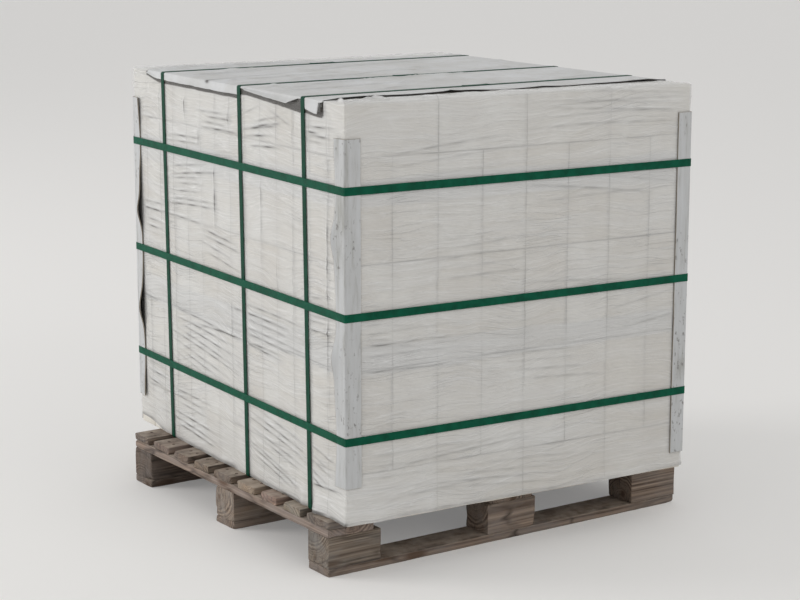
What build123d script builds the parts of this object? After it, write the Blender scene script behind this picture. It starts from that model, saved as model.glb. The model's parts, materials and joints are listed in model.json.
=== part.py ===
from build123d import *
from math import cos, radians, sin, tan
import os

# A pallet of light white firebricks: five courses of bricks on a timber block pallet,
# with stretch film round them, a white sheet over the top, a corner guard at each
# upright corner and green straps round the load both ways. The load stands a little
# askew on its pallet.
# Millimetres. The origin is on the floor under the middle of the pallet and of the load,
# +X runs to the right along the pallet's front, +Y runs away from the front and +Z is up.

# Bricks: one brick's own sizes, how many stand along each way, and the courses from the
# floor up. A header lies with its length front to back, a soldier stands on its end.
brick_length = 230.0
brick_breadth = 114.0
brick_thickness = 76.0
brick_chamfer = 1.5
brick_joint = 0.8
brick_columns = 14
header_rows = 4
soldier_rows = 8
course_kinds = ("header", "soldier", "soldier", "soldier", "header")

# The load's turn on its pallet, in degrees, clockwise seen from above
load_turn = 3.2

# Pallet. The deck boards are counted from the left, and the gaps between them are even.
deck_ledge = 45.0
deck_board_widths = (73.0, 78.0, 73.0, 73.0, 82.0, 78.0, 73.0, 75.0, 91.0)
deck_board_gap = 28.0
deck_board_thickness = 18.0
stringer_width = 120.0
stringer_thickness = 18.0
foot_width = 86.0
block_depth = 140.0
block_height = 72.0
bottom_board_thickness = 18.0
timber_chamfer = 1.5

# Film, sheet and guards. A guard's lift is from the deck, and its drop from the bricks' top.
clearance = 0.3
film_thickness = 0.4
film_rim_width = 110.0
film_hem_lift = 3.0
sheet_inset = 92.0
sheet_thickness = 1.0
sheet_flap_drop = 38.0
guard_flange = 40.0
guard_thickness = 3.0
guard_corner_radius = 4.5
guard_lifts = {"front_left": 74.0, "front_right": 86.0, "back_left": 56.0, "back_right": 40.0}
guard_drops = {"front_left": 72.0, "front_right": 72.0, "back_left": 76.0, "back_right": 64.0}

# Straps. The upright ones go down through gaps of the deck.
strap_thickness = 0.9
upright_strap_width = 16.0
level_strap_width = 18.0
strap_weld_length = 70.0
low_strap_lift = 191.0
high_strap_drop = 182.0

# Plan of the load and of the pallet under it
load_width = brick_columns * brick_thickness + (brick_columns - 1) * brick_joint
load_depth = header_rows * brick_length + (header_rows - 1) * brick_joint
pallet_width = sum(deck_board_widths) + (len(deck_board_widths) - 1) * deck_board_gap
pallet_depth = load_depth + 2 * deck_ledge

# Levels, from the floor up
block_base = bottom_board_thickness
stringer_base = block_base + block_height
deck_base = stringer_base + stringer_thickness
deck_top = deck_base + deck_board_thickness
course_heights = {"header": brick_breadth, "soldier": brick_length}
load_top = deck_top + sum(course_heights[kind] for kind in course_kinds)
film_top = load_top + clearance + film_thickness
sheet_base = film_top + clearance
sheet_top = sheet_base + sheet_thickness

# Half sizes of what goes round the load, from the bricks outwards
film_inner_x = load_width / 2 + clearance
film_inner_y = load_depth / 2 + clearance
film_outer_x = film_inner_x + film_thickness
film_outer_y = film_inner_y + film_thickness
guard_outer_x = film_outer_x + clearance + guard_thickness
guard_outer_y = film_outer_y + clearance + guard_thickness
flap_inner_y = film_outer_y + clearance
flap_outer_y = flap_inner_y + sheet_thickness
upright_strap_inner_y = flap_outer_y + clearance
upright_strap_outer_y = upright_strap_inner_y + strap_thickness
level_strap_inner_x = guard_outer_x + clearance
level_strap_inner_y = max(guard_outer_y, upright_strap_outer_y) + clearance

# Bends, each round the one inside it
film_inner_radius = brick_chamfer + clearance
film_outer_radius = film_inner_radius + film_thickness
sheet_inner_radius = film_outer_radius + clearance
sheet_outer_radius = sheet_inner_radius + sheet_thickness
upright_strap_radius = sheet_outer_radius + clearance
level_strap_radius = guard_corner_radius + clearance


def block(size_x, size_y, size_z, centre_x, centre_y, base_z):
    """A plain box, placed by the middle of its base."""
    return Pos(centre_x, centre_y, base_z + size_z / 2) * Box(size_x, size_y, size_z)


def board(size_x, size_y, size_z, centre_x, centre_y, base_z):
    """A sawn board with its long edges eased."""
    along = Axis.X if size_x > size_y else Axis.Y
    piece = block(size_x, size_y, size_z, centre_x, centre_y, base_z)
    return chamfer(piece.edges().filter_by(along), timber_chamfer)


def save(name, *solids):
    """Write one or more solids as the file of a named piece."""
    shape = solids[0] if len(solids) == 1 else Compound(children=list(solids))
    export_step(shape, f"parts/{name}.step")


def save_turned(name, *solids):
    """Write a piece that is square to the load, turned with the load."""
    turn = Rot(0, 0, -load_turn)
    save(name, *[turn * solid for solid in solids])


def deck_board_spans():
    """Each deck board's left and right edge, from the left."""
    spans = []
    left = -pallet_width / 2
    for width in deck_board_widths:
        spans.append((left, left + width))
        left += width + deck_board_gap
    return spans


def make_pallet():
    """Blocks stand on boards that run front to back, under boards that run across."""
    foot_x = (pallet_width - foot_width) / 2
    block_y = (pallet_depth - block_depth) / 2
    stringer_y = (pallet_depth - stringer_width) / 2
    columns = {"left": -foot_x, "centre": 0, "right": foot_x}
    rows = {"front": -1, "middle": 0, "back": 1}
    for column, x in columns.items():
        save(f"bottom_board_{column}", board(foot_width, pallet_depth, bottom_board_thickness, x, 0, 0))
    for row, end in rows.items():
        for column, x in columns.items():
            foot = block(foot_width, block_depth, block_height, x, end * block_y, block_base)
            save(f"block_{row}_{column}", chamfer(foot.edges().filter_by(Axis.Z), timber_chamfer))
        stringer = board(pallet_width, stringer_width, stringer_thickness, 0, end * stringer_y, stringer_base)
        save(f"stringer_{row}", stringer)


def make_deck():
    """Boards run from front to back and reach past the bricks at both ends."""
    for number, (left, right) in enumerate(deck_board_spans(), 1):
        middle = (left + right) / 2
        piece = board(right - left, pallet_depth, deck_board_thickness, middle, 0, deck_base)
        save(f"deck_board_{number}", piece)


def row_of_places(count, size, span):
    """Middles of a row of like bricks that fills a span, and the joint between them."""
    joint = (span - count * size) / (count - 1)
    return [(size - span) / 2 + i * (size + joint) for i in range(count)], joint


def make_course(name, kind, base):
    """The bricks that show are single solids, and those that they hide are one core."""
    deep, size_y = (header_rows, brick_length) if kind == "header" else (soldier_rows, brick_breadth)
    height = course_heights[kind]
    places_x, joint_x = row_of_places(brick_columns, brick_thickness, load_width)
    places_y, joint_y = row_of_places(deep, size_y, load_depth)
    brick = block(brick_thickness, size_y, height, 0, 0, base)
    brick = chamfer(brick.edges(), brick_chamfer)
    outer = [
        Pos(x, y, 0) * brick
        for x in places_x
        for y in places_y
        if x in (places_x[0], places_x[-1]) or y in (places_y[0], places_y[-1])
    ]
    core_x = load_width - 2 * (brick_thickness + joint_x)
    core_y = load_depth - 2 * (size_y + joint_y)
    save_turned(name, *outer, block(core_x, core_y, height, 0, 0, base))


def make_load():
    base = deck_top
    for number, kind in enumerate(course_kinds, 1):
        make_course(f"brick_course_{number}", kind, base)
        base += course_heights[kind]


def rounded_block(half_x, half_y, base, top, radius):
    """A block with rounded upright and top edges."""
    body = block(2 * half_x, 2 * half_y, top - base, 0, 0, base)
    round_edges = body.edges().filter_by(Axis.Z) + body.edges().group_by(Axis.Z)[-1]
    return fillet(round_edges, radius)


def make_film():
    """A tube round the load that turns in over its top as a rim."""
    base = deck_top + film_hem_lift
    film = rounded_block(film_outer_x, film_outer_y, base, film_top, film_outer_radius)
    film -= rounded_block(film_inner_x, film_inner_y, base, load_top + clearance, film_inner_radius)
    mouth_x = 2 * (film_outer_x - film_rim_width)
    mouth_y = 2 * (film_outer_y - film_rim_width)
    film -= block(mouth_x, mouth_y, film_top - base, 0, 0, base)
    save_turned("stretch_film", film)


def folded_outline(half_y, low, high, radius):
    """A rectangle in the YZ plane with its two top corners rounded."""
    outline = Pos(0, (low + high) / 2) * Rectangle(2 * half_y, high - low)
    return fillet(outline.vertices().group_by(Axis.Y)[-1], radius)


def make_top_sheet():
    """A sheet over the load, folded down over its front and back."""
    low = sheet_top - sheet_flap_drop
    profile = folded_outline(flap_outer_y, low, sheet_top, sheet_outer_radius)
    profile -= folded_outline(flap_inner_y, low, sheet_base, sheet_inner_radius)
    save_turned("top_sheet", extrude(Plane.YZ * profile, load_width / 2 - sheet_inset, both=True))


def guard_profile():
    """An angle with its corner at the origin and its arms along -X and -Y."""
    corner = (Align.MAX, Align.MAX)
    outer = Rectangle(guard_flange, guard_flange, align=corner)
    outer = fillet(outer.vertices().sort_by(lambda v: v.X + v.Y)[-1], guard_corner_radius)
    inner = Rectangle(guard_flange, guard_flange, align=corner)
    return outer - Pos(-guard_thickness, -guard_thickness) * inner


def make_guards():
    """Angles that stand in the upright corners, under the straps that go round."""
    turns = {"back_right": 0, "back_left": 90, "front_left": 180, "front_right": 270}
    for place, turn in turns.items():
        x = guard_outer_x if place.endswith("right") else -guard_outer_x
        y = guard_outer_y if place.startswith("back") else -guard_outer_y
        base = deck_top + guard_lifts[place]
        length = load_top - guard_drops[place] - base
        guard = Pos(x, y, base) * Rot(0, 0, turn) * extrude(guard_profile(), length)
        save_turned(f"corner_guard_{place}", guard)


def strap_profile(half_u, low_v, high_v, radius):
    """A closed band round a rectangle, with the welded overlap outside its top side."""
    middle = (low_v + high_v) / 2
    height = high_v - low_v
    inner = RectangleRounded(2 * half_u, height, radius)
    outer_width = 2 * (half_u + strap_thickness)
    outer = RectangleRounded(outer_width, height + 2 * strap_thickness, radius + strap_thickness)
    weld = Pos(0, high_v + 1.5 * strap_thickness) * Rectangle(strap_weld_length, strap_thickness)
    return Pos(0, middle) * (outer - inner) + weld


def upright_strap_places():
    """The outer straps run along the inner sides of their gaps, the centre one mid gap."""
    spans = deck_board_spans()
    gaps = [(board[1], following[0]) for board, following in zip(spans, spans[1:])]
    centre = gaps[len(gaps) // 2]
    inset = upright_strap_width / 2 + clearance
    return {"left": gaps[0][1] - inset, "centre": sum(centre) / 2, "right": gaps[-1][0] + inset}


def make_upright_straps():
    """Each goes over the sheet and down through a gap of the deck, under the bricks.

    It stands along its gap, so it goes askew over the turned load, on which it lies flat.
    """
    turn = radians(load_turn)
    half_y = upright_strap_inner_y / cos(turn)
    profile = strap_profile(half_y, deck_top - clearance, sheet_top + clearance, upright_strap_radius)
    band = extrude(Plane.YZ * profile, upright_strap_width, dir=(cos(turn), -sin(turn), 0))
    start_x = -upright_strap_width / 2 * cos(turn)
    start_y = upright_strap_width / 2 * sin(turn)
    for name, x in upright_strap_places().items():
        save(f"upright_strap_{name}", Pos(x + start_x, start_y - x * tan(turn), 0) * band)


def make_level_straps():
    """Each goes round the guards, with its weld behind."""
    low = deck_top + low_strap_lift
    high = load_top - high_strap_drop
    half_y = level_strap_inner_y
    profile = strap_profile(level_strap_inner_x, -half_y, half_y, level_strap_radius)
    band = extrude(profile, level_strap_width / 2, both=True)
    for name, z in {"low": low, "middle": (low + high) / 2, "high": high}.items():
        save_turned(f"level_strap_{name}", Pos(0, 0, z) * band)


os.makedirs("parts", exist_ok=True)
make_pallet()
make_deck()
make_load()
make_film()
make_top_sheet()
make_guards()
make_upright_straps()
make_level_straps()
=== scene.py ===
import json
import math

import bpy
import numpy as np
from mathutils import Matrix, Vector


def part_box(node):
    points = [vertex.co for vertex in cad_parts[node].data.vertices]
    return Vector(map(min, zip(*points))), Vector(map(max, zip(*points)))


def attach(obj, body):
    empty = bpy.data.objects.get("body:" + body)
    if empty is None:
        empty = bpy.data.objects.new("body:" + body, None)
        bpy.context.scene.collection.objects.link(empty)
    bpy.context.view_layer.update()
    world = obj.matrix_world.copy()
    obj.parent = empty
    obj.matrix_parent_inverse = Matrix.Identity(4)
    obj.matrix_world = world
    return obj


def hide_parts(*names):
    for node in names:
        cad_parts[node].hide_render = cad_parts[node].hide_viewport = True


# The looks of a pallet of light firebricks: weathered timber, pale bricks, wrinkled stretch
# film in three turns, a white sheet over the top, board corner guards and green straps.
# Metres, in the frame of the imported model: +X right along the front, +Y back, +Z up.

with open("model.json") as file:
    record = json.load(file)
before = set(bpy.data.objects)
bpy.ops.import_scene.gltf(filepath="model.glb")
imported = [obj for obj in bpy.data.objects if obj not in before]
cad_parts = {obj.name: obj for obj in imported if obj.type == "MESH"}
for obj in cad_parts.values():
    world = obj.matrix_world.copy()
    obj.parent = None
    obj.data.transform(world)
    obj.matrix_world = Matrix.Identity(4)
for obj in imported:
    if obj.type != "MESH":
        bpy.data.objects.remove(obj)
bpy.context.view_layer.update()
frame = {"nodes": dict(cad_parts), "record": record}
slots = {part["node"]: part["material_slot"] for part in frame["record"]["subparts"]}

# The load's turn on its pallet, clockwise seen from above
load_turn = math.radians(3.2)


def turned(points):
    """Points along the load's own axes, put at their places in the frame."""
    x, y, z = np.moveaxis(np.asarray(points, float), -1, 0)
    across = x * math.cos(load_turn) + y * math.sin(load_turn)
    return np.stack([across, y * math.cos(load_turn) - x * math.sin(load_turn), z], axis=-1)


def load_box(node):
    """The lowest and highest corner of a CAD node of the load, along the load's own axes."""
    x, y, z = np.array([vertex.co for vertex in frame["nodes"][node].data.vertices]).T
    along = x * math.cos(load_turn) - y * math.sin(load_turn)
    points = np.stack([along, x * math.sin(load_turn) + y * math.cos(load_turn), z], axis=-1)
    return Vector(points.min(axis=0)), Vector(points.max(axis=0))


# Levels and half sizes of the load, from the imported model
deck_top = load_box("brick_course_1")[0].z
load_top = load_box("brick_course_5")[1].z
half_x = load_box("brick_course_1")[1].x
half_y = load_box("brick_course_1")[1].y
load_width, load_depth = 2 * half_x, 2 * half_y
# Its sides are numbered 0 to 3: front, right, back and left
front, back = 0, 2

# Bricks, by course: columns across, rows deep, and the joint between two of them
brick_columns = 14
course_rows = {1: 4, 2: 8, 3: 8, 4: 8, 5: 4}
whole_courses = (1, 5)
brick_joint = 0.0008

# Film: the gap to the bricks and between turns, and each turn's lower and upper edge
film_gap = 0.0003
film_turn_step = 0.00022
film_corner = 0.0025
film_turns = {
    "film_turn_low": (deck_top + 0.002, deck_top + 0.40),
    "film_turn_middle": (deck_top + 0.33, deck_top + 0.76),
    "film_turn_high": (deck_top + 0.69, load_top),
}
top_turn = len(film_turns) - 1
# How far it stands off at most, the height of its rows, the widths of its columns on the four
# sides, how far it closes over the load's top, and its rows there and next to the top edge
film_stand_off = 0.0036
film_row_height = 0.0028
film_column_widths = (0.0052, 0.0062, 0.0100, 0.0100)
film_rim = 0.105
film_rim_rows = 34

# The top sheet: its half width, how far in from the load's ends it starts, its level, the
# place of its flaps, the radius of its bend, and where a scuff marks its front edge
sheet_half = load_box("top_sheet")[1].x
sheet_inset = half_x - sheet_half
sheet_level = load_top + 0.0015
sheet_y = half_y + 0.0015
sheet_bend = 0.0035
sheet_mark = 0.425
# Its columns, and its rows over the top and down each flap
sheet_columns, sheet_top_rows, sheet_flap_rows = 224, 110, 12

# Straps: how far the upright ones lean over from the deck to the top, the sizes of all, and
# the places along a weld, from its middle
strap_lean = -0.017
upright_nodes = {name: f"upright_strap_{name}" for name in ("left", "centre", "right")}
level_nodes = {name: f"level_strap_{name}" for name in ("low", "middle", "high")}
strap_thickness = 0.0009
strap_edge = 0.00018
strap_bend = 0.0045
weld = np.linspace(-0.035, 0.035, 24)

# Corner guards: the corner of each, as the signs of X and Y, and the heights of its two bows
guards = {
    "front_left": (-1, -1, (0.680, 0.435)),
    "front_right": (1, -1, (0.760, 0.505)),
    "back_left": (-1, 1, (0.700, 0.420)),
    "back_right": (1, 1, (0.730, 0.480)),
}
guard_board = 0.003
guard_round = 0.0045

# The photograph's view: where the eye stands, the point that it looks at, and the lens
eye = (4.042, -2.775, 1.476)
target = (0.0, 0.0, 0.490)
lens = 91.0


def noise(seed, u, v, period=64):
    """Smooth noise from -1 to 1, about one bump a unit; along u it repeats after the period."""
    table = np.random.default_rng(seed).uniform(-1.0, 1.0, (period, 256))
    u, v = np.broadcast_arrays(np.asarray(u, float), np.asarray(v, float))
    cell_u, cell_v = np.floor(u).astype(int), np.floor(v).astype(int)
    ease_u, ease_v = (t * t * (3.0 - 2.0 * t) for t in (u - cell_u, v - cell_v))

    def corner(du, dv):
        return table[(cell_u + du) % period, (cell_v + dv) % 256]

    low = corner(0, 0) * (1.0 - ease_u) + corner(1, 0) * ease_u
    high = corner(0, 1) * (1.0 - ease_u) + corner(1, 1) * ease_u
    return low * (1.0 - ease_v) + high * ease_v


def layered(seed, u, v, octaves=4, period=64):
    """Noise with finer noise on it, each layer half as strong."""
    layers = [
        noise(seed + k, np.asarray(u) * 2**k, np.asarray(v) * 2**k, period * 2**k) / 2**k
        for k in range(octaves)
    ]
    return sum(layers)


def smooth(value, low, high):
    """0 below low, 1 above high, and an even curve between."""
    t = np.clip((value - low) / (high - low), 0, 1)
    return t * t * (3.0 - 2.0 * t)


def hump(value, middle, width):
    """1 at the middle, fading evenly to both sides."""
    return np.exp(-(((value - middle) / width) ** 2))


def grid(rows, columns):
    """The numbers of the points in so many rows and columns."""
    return np.arange(rows * columns).reshape(rows, columns)


def quads_over(index, wrap=True):
    """Faces over a grid of point numbers; its last column joins its first if it wraps."""
    onward = np.roll(index, -1, axis=1)
    quads = np.stack([index[:-1], onward[:-1], onward[1:], index[1:]], axis=-1)
    return (quads if wrap else quads[:, :-1]).reshape(-1, 4)


def joined(parts):
    """The points and faces of several meshes, as those of one."""
    faces, start = [], 0
    for points, part_faces in parts:
        faces += [[number + start for number in face] for face in part_faces]
        start += len(points)
    return np.concatenate([points for points, _ in parts]), faces


def new_piece(name, points, faces, angle=None):
    """A mesh object, shaded smooth, with edges sharper than the angle kept sharp."""
    mesh = bpy.data.meshes.new(name)
    faces = faces if isinstance(faces, list) else faces.tolist()
    mesh.from_pydata(points.reshape(-1, 3).tolist(), [], faces)
    mesh.shade_smooth()
    if angle is not None:
        mesh.set_sharp_from_angle(angle=math.radians(angle))
    piece = bpy.data.objects.new(name, mesh)
    bpy.context.scene.collection.objects.link(piece)
    return piece


def give(piece, name, values):
    """Store a number or a vector for each point of a piece, for its material to read."""
    values = np.asarray(values, np.float32).ravel()
    vector = len(values) == 3 * len(piece.data.vertices)
    attribute = piece.data.attributes.new(name, "FLOAT_VECTOR" if vector else "FLOAT", "POINT")
    attribute.data.foreach_set("vector" if vector else "value", values)


def dress(piece, material, slot, *nodes):
    """Give a piece its finish and its place in the frame."""
    piece.data.materials.append(material)
    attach(piece, "root")
    if nodes:
        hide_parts(*nodes)


class Graph:
    """The nodes of a material or the world, added one by one and joined by socket names."""

    def __init__(self, owner):
        self.owner = owner
        owner.use_nodes = True
        self.nodes = owner.node_tree.nodes
        self.links = owner.node_tree.links

    def set(self, node, sockets):
        for key, value in sockets.items():
            if isinstance(value, bpy.types.NodeSocket):
                self.links.new(value, node.inputs[key])
            else:
                node.inputs[key].default_value = value

    def add(self, kind, sockets=None, **settings):
        node = self.nodes.new("ShaderNode" + kind)
        for key, value in settings.items():
            setattr(node, key, value)
        self.set(node, sockets or {})
        return node

    def finish(self, base, roughness, sockets):
        """Set the shader, and give back the material."""
        sockets = {"Base Color": base, "Roughness": roughness, **sockets}
        self.set(self.nodes["Principled BSDF"], sockets)
        return self.owner

    def attribute(self, name, output="Fac"):
        return self.add("Attribute", attribute_name=name).outputs[output]

    def position(self):
        return self.add("TexCoord").outputs["Object"]

    def parts(self, vector):
        return self.add("SeparateXYZ", {0: vector}).outputs

    def up(self):
        """How much a surface faces up, from its normal."""
        return self.parts(self.add("NewGeometry").outputs["Normal"])["Z"]

    def math(self, operation, value, *others):
        """One operation on all the values, from the first on."""
        for other in others or (0.0,):
            value = self.add("Math", {0: value, 1: other}, operation=operation).outputs[0]
        return value

    def weighted(self, *pairs):
        """The sum of values, each times its factor."""
        return self.math("ADD", *[self.math("MULTIPLY", value, factor) for value, factor in pairs])

    def scaled(self, vector, *factors):
        node = self.add("VectorMath", {0: vector, 1: factors}, operation="MULTIPLY")
        return node.outputs[0]

    def noise(self, vector, scale, detail=4.0, roughness=0.55):
        sockets = {"Vector": vector, "Scale": scale, "Detail": detail, "Roughness": roughness}
        return self.add("TexNoise", sockets).outputs["Fac"]

    def cells(self, vector, scale):
        """The distance from the middle of the nearest of many random cells."""
        return self.add("TexVoronoi", {"Vector": vector, "Scale": scale}).outputs["Distance"]

    def span(self, value, from_low, from_high, to_low, to_high):
        values = (value, from_low, from_high, to_low, to_high)
        return self.add("MapRange", dict(enumerate(values))).outputs[0]

    def patches(self, vector, scale, low, high, least, most, detail=4.0, roughness=0.55):
        """The least value where a noise is low, and the most where it is high."""
        return self.span(self.noise(vector, scale, detail, roughness), low, high, least, most)

    def lines(self, vector, width, detail=2.0):
        """Thin lines, 1 at their middle, along which a noise has its middle value."""
        value = self.noise(vector, 1.0, detail)
        apart = self.math("ABSOLUTE", self.math("SUBTRACT", value, 0.5))
        return self.span(apart, 0.0, width, 1.0, 0.0)

    def ramp(self, factor, *stops):
        node = self.add("ValToRGB", {"Fac": factor})
        elements = node.color_ramp.elements
        while len(elements) < len(stops):
            elements.new(0.5)
        for element, (place, shade) in zip(elements, stops):
            element.position = place
            element.color = shade
        return node.outputs["Color"]

    def mix(self, factor, a, b, blend="MIX"):
        node = self.add("Mix", data_type="RGBA", blend_type=blend)
        self.set(node, {0: factor, 6: a, 7: b})
        return node.outputs[2]

    def bump(self, height, strength, distance):
        """The shader's normal, bumped by a height."""
        sockets = {"Height": height, "Strength": strength, "Distance": distance}
        return {"Normal": self.add("Bump", sockets).outputs["Normal"]}

    def seen(self):
        """1 for the rays that a camera, a glossy or a clear surface sends out, 0 for others."""
        rays = self.add("LightPath").outputs
        kinds = ("Camera", "Glossy", "Transmission")
        return self.math("MAXIMUM", *[rays[f"Is {kind} Ray"] for kind in kinds])


def colour(red, green, blue):
    """A colour's linear values from its 0 to 255 screen values."""
    screen = np.array((red, green, blue)) / 255.0
    linear = np.where(screen <= 0.04045, screen / 12.92, ((screen + 0.055) / 1.055) ** 2.4)
    return (*linear, 1.0)


def timber_material():
    """Weathered softwood: rings round a pith, fibres along the board, stains, knots and dust."""
    g = Graph(bpy.data.materials.new("timber"))
    grain = g.attribute("grain", "Vector")
    warp = g.noise(g.scaled(grain, 0.06, 1.0, 1.0), 14.0, 3.0)
    from_pith = g.add("VectorMath", {0: g.scaled(grain, 0.0, 1.0, 1.0)}, operation="LENGTH")
    radius = g.weighted((from_pith.outputs["Value"], 1.0), (warp, 0.024))
    rings = g.add("TexNoise", {"W": radius, "Scale": 210.0, "Detail": 1.0}, noise_dimensions="1D")
    rings = rings.outputs["Fac"]
    fibres = g.noise(g.scaled(grain, 7.0, 300.0, 300.0), 1.0, 3.0)
    tones = colour(104, 87, 74), colour(146, 128, 112), colour(174, 156, 139)
    wood = g.ramp(rings, *zip((0.30, 0.52, 0.75), tones))
    tones = (0.45, 0.43, 0.41, 1.0), (0.9, 0.9, 0.9, 1.0), (1.06, 1.05, 1.03, 1.0)
    fibre_tone = g.ramp(fibres, *zip((0.30, 0.48, 0.8), tones))
    wood = g.mix(1.0, wood, fibre_tone, "MULTIPLY")
    grey = g.patches(g.scaled(grain, 1.0, 3.0, 3.0), 5.0, 0.40, 0.66, 0.0, 0.75, 5.0, 0.65)
    wood = g.mix(grey, wood, colour(143, 136, 130))
    stain = g.patches(g.scaled(grain, 2.0, 9.0, 9.0), 2.2, 0.58, 0.74, 0.0, 0.62, 4.0, 0.6)
    wood = g.mix(stain, wood, colour(74, 64, 54))
    cracked = g.patches(g.scaled(grain, 1.0, 9.0, 9.0), 3.0, 0.40, 0.60, 0.15, 0.9)
    cracks = g.math("MULTIPLY", g.lines(g.scaled(grain, 3.0, 60.0, 9.0), 0.030, 3.0), cracked)
    wood = g.mix(cracks, wood, colour(62, 53, 46))
    knots = g.span(g.cells(g.scaled(grain, 5.5, 17.0, 17.0), 1.0), 0.10, 0.22, 0.85, 0.0)
    wood = g.mix(knots, wood, colour(88, 66, 48))
    wood = g.mix(1.0, wood, g.attribute("tint", "Vector"), "MULTIPLY")
    dusty = g.patches(g.position(), 26.0, 0.38, 0.62, 0.15, 1.0, 6.0)
    dust = g.math("MULTIPLY", g.span(g.up(), 0.6, 0.95, 0.0, 0.66), dusty)
    wood = g.mix(dust, wood, colour(188, 174, 159))
    relief = g.weighted((fibres, 0.8), (rings, 0.5), (cracks, -0.8))
    return g.finish(wood, 0.82, g.bump(relief, 0.7, 0.0012))


def brick_material():
    """Pale, fine and porous, with a slightly different tone on each brick."""
    g = Graph(bpy.data.materials.new("firebrick"))
    position = g.position()
    clouds = g.noise(position, 13.0, 5.0)
    base = g.ramp(clouds, (0.35, colour(222, 217, 208)), (0.65, colour(238, 236, 230)))
    base = g.mix(g.math("MULTIPLY", g.attribute("tone"), 0.5), base, colour(208, 197, 178))
    pores = g.span(g.cells(position, 420.0), 0.12, 0.30, 1.0, 0.0)
    pitted = g.math("MULTIPLY", pores, g.patches(position, 70.0, 0.42, 0.6, 0.0, 1.0))
    base = g.mix(g.math("MULTIPLY", pitted, 0.55), base, colour(150, 140, 124))
    streaks = g.patches(g.scaled(position, 30.0, 30.0, 4.0), 1.0, 0.58, 0.75, 0.0, 0.35)
    base = g.mix(streaks, base, colour(188, 182, 170))
    relief = g.weighted((g.noise(position, 320.0, 5.0), 1.0), (pitted, -0.9))
    return g.finish(base, 0.9, g.bump(relief, 0.6, 0.0008))


def film_material():
    """Clear film in several layers: whiter on a crease, painted shade in a fold, under the sheet's
    flap, behind the guards and along the hem, and grey over a brick joint.
    """
    g = Graph(bpy.data.materials.new("stretch_film"))
    position = g.position()
    place = g.parts(position)
    height = g.weighted((place["Z"], 1.0), (g.noise(position, 2.2, 2.0), 0.16))
    wrapped = g.add("CombineXYZ", {0: place["X"], 1: place["Y"], 2: height}).outputs[0]
    marks = g.noise(g.scaled(wrapped, 7.0, 7.0, 260.0), 1.0, 4.0, 0.6)
    broad = g.noise(g.scaled(wrapped, 3.0, 3.0, 38.0), 1.0, 3.0)
    drawn = g.patches(position, 3.7, 0.42, 0.60, 0.0, 1.0, 3.0)
    lines = g.math("MULTIPLY", g.lines(g.scaled(wrapped, 3.4, 3.4, 52.0), 0.022), drawn)
    wall = g.parts(g.attribute("wall", "Vector"))
    beside = g.math("MULTIPLY", g.math("PINGPONG", wall["X"], 0.5), wall["Z"])
    apart = g.math("MINIMUM", beside, g.math("ABSOLUTE", wall["Y"]))
    shown = g.patches(position, 4.3, 0.36, 0.62, 0.05, 0.55)
    joint = g.math("MULTIPLY", g.span(apart, 0.0006, 0.0024, 0.85, 0.0), shown)
    fold = g.math("MAXIMUM", g.attribute("fold"), joint)
    layers = g.math("ADD", g.span(broad, 0.35, 0.7, 0.46, 0.62), g.span(marks, 0.5, 0.72, 0.0, 0.14))
    cover = g.weighted((layers, 1.0), (lines, 0.18), (g.attribute("crease"), 0.25), (fold, 0.4))
    # Painted shade: the fold attribute darkens the film towards this grey in folds, under the flap,
    # behind the guards and along the hem
    grey = g.weighted((fold, 1.0), (lines, 0.10))
    base = g.mix(grey, colour(238, 238, 237), colour(68, 65, 61))
    relief = g.weighted((marks, 1.0), (broad, 1.6), (lines, 0.7))
    sockets = {"Alpha": g.math("MINIMUM", cover, 0.94), **g.bump(relief, 0.7, 0.0020)}
    return g.finish(base, 0.24, sockets)


def sheet_material():
    """Soft white sheet with a fine weave, creases, settled dust and one dark scuff."""
    g = Graph(bpy.data.materials.new("top_sheet"))
    position = g.position()
    clouds = g.noise(position, 7.0, 7.0, 0.7)
    base = g.ramp(clouds, (0.36, colour(195, 195, 193)), (0.62, colour(209, 210, 211)))
    dusty = g.patches(position, 34.0, 0.42, 0.66, 0.0, 1.0, 8.0, 0.7)
    settled = g.math("MULTIPLY", g.span(g.up(), 0.90, 0.99, 0.0, 0.3), dusty)
    base = g.mix(settled, base, colour(176, 170, 160))
    base = g.mix(g.math("MULTIPLY", g.attribute("mark"), 1.3), base, colour(84, 82, 80))
    weave = g.noise(g.scaled(position, 900.0, 900.0, 900.0), 1.0, 2.0)
    creased = g.noise(g.scaled(position, 26.0, 9.0, 26.0), 1.0, 5.0, 0.6)
    folds = g.lines(g.scaled(position, 7.0, 4.0, 7.0), 0.020, 4.0)
    relief = g.weighted((weave, 0.15), (creased, 1.0), (folds, 0.5))
    return g.finish(base, 0.5, g.bump(relief, 0.6, 0.0020))


def guard_material():
    """White lined board, with its grey-brown core on the cut edges and scuffs on the faces."""
    g = Graph(bpy.data.materials.new("guard_board"))
    position = g.position()
    scuffs = g.noise(g.scaled(position, 60.0, 60.0, 7.0), 1.0, 6.0, 0.65)
    tones = colour(166, 166, 162), colour(193, 194, 194), colour(207, 209, 211)
    face = g.ramp(scuffs, *zip((0.32, 0.46, 0.8), tones))
    spots = g.patches(g.scaled(position, 1.0, 1.0, 0.6), 130.0, 0.60, 0.68, 0.0, 0.7, 3.0)
    spotted = g.patches(position, 6.0, 0.46, 0.60, 0.0, 1.0, 2.0)
    face = g.mix(g.math("MULTIPLY", spots, spotted), face, colour(104, 100, 96))
    plies = g.noise(g.scaled(position, 900.0, 900.0, 30.0), 1.0, 2.0)
    edge = g.ramp(plies, (0.35, colour(118, 108, 94)), (0.65, colour(168, 160, 146)))
    return g.finish(g.mix(g.attribute("core"), face, edge), 0.62, g.bump(scuffs, 0.35, 0.0012))


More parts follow.
